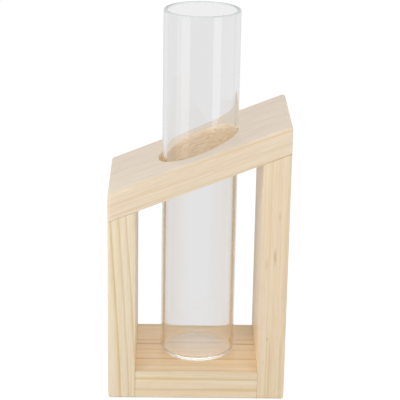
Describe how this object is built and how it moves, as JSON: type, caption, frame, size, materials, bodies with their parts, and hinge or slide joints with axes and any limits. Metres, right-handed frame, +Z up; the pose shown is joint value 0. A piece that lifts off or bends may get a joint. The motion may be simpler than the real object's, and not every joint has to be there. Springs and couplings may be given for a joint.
{
  "type": "test tube vase",
  "caption": "Clear flat-bottomed glass tube that stands loose in a small pine frame with a slanted, drilled top.",
  "frame": {"origin": "middle of the frame's footprint, on the surface it stands on", "axes": "+Z up; the front, where the window shows, faces -Y; the low side of the slanted top is at -X and the high side at +X"},
  "size_m": [0.094, 0.064, 0.2055],
  "materials": {
    "pine": "bare, planed and sanded",
    "beech": "bare",
    "clear_glass": "clear, fire-polished rim"
  },
  "bodies": {
    "frame": {"left_upright": "pine", "right_upright": "pine", "base_board": "pine", "slanted_top": "pine", "left_base_dowels": "beech", "right_base_dowels": "beech", "left_top_dowels": "beech", "right_top_dowels": "beech"},
    "tube": {"glass_tube": "clear_glass"}
  },
  "joints": [
    {"name": "tube_lift", "type": "slide", "parent": "frame", "child": "tube", "axis": [0, 0, 1], "range_m": [0, 0.132]}
  ]
}
